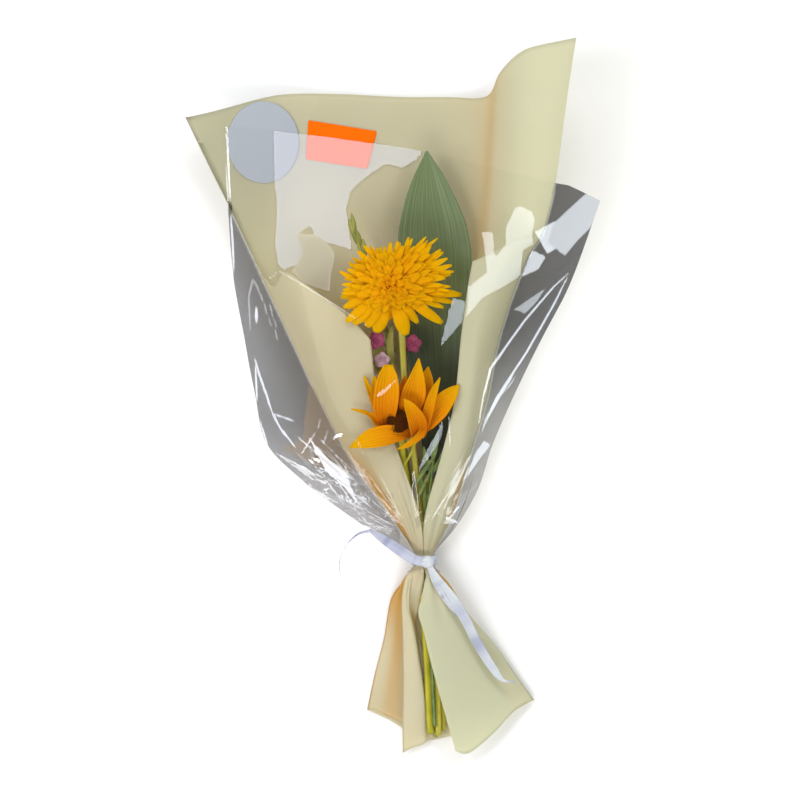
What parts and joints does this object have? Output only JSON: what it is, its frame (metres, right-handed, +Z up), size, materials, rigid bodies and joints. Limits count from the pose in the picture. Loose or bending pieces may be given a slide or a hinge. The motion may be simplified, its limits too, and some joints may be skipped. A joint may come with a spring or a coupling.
{
  "type": "mixed flower bouquet",
  "caption": "Flower bouquet with a chrysanthemum, sunflower, broad leaf and pink spike in a cone of cream paper and clear film, tied with a satin ribbon, lying on its back.",
  "frame": {"origin": "middle of the bounding box on the surface that the bouquet lies on", "axes": "+Y towards the flowers, -Y towards the cut stems, +Z up from the lying surface"},
  "size_m": [0.3272, 0.557, 0.1015],
  "materials": {
    "paper": "matte",
    "film": "gloss",
    "ribbon": "satin",
    "seal": "satin",
    "label": "satin",
    "chrysanthemum": "matte",
    "flower_stem": "satin",
    "sunflower": "matte",
    "seed_disc": "matte",
    "broad_leaf": "satin",
    "spike": "matte",
    "magenta_floret": "matte",
    "lilac_floret": "matte",
    "greenery": "matte"
  },
  "bodies": {
    "root": {"wrap_paper": "paper", "cellophane_film": "film", "ribbon_tie": "ribbon", "round_sticker": "seal", "orange_label": "label", "chrysanthemum_petals": "chrysanthemum", "chrysanthemum_stem": "flower_stem", "sunflower_rays": "sunflower", "sunflower_disc": "seed_disc", "sunflower_stem": "flower_stem", "aspidistra_leaf": "broad_leaf", "spike_stem": "spike", "spike_floret_1": "magenta_floret", "spike_floret_2": "magenta_floret", "spike_floret_3": "lilac_floret", "spike_floret_4": "lilac_floret", "greenery_1": "greenery", "greenery_2": "greenery"}
  },
  "joints": []
}
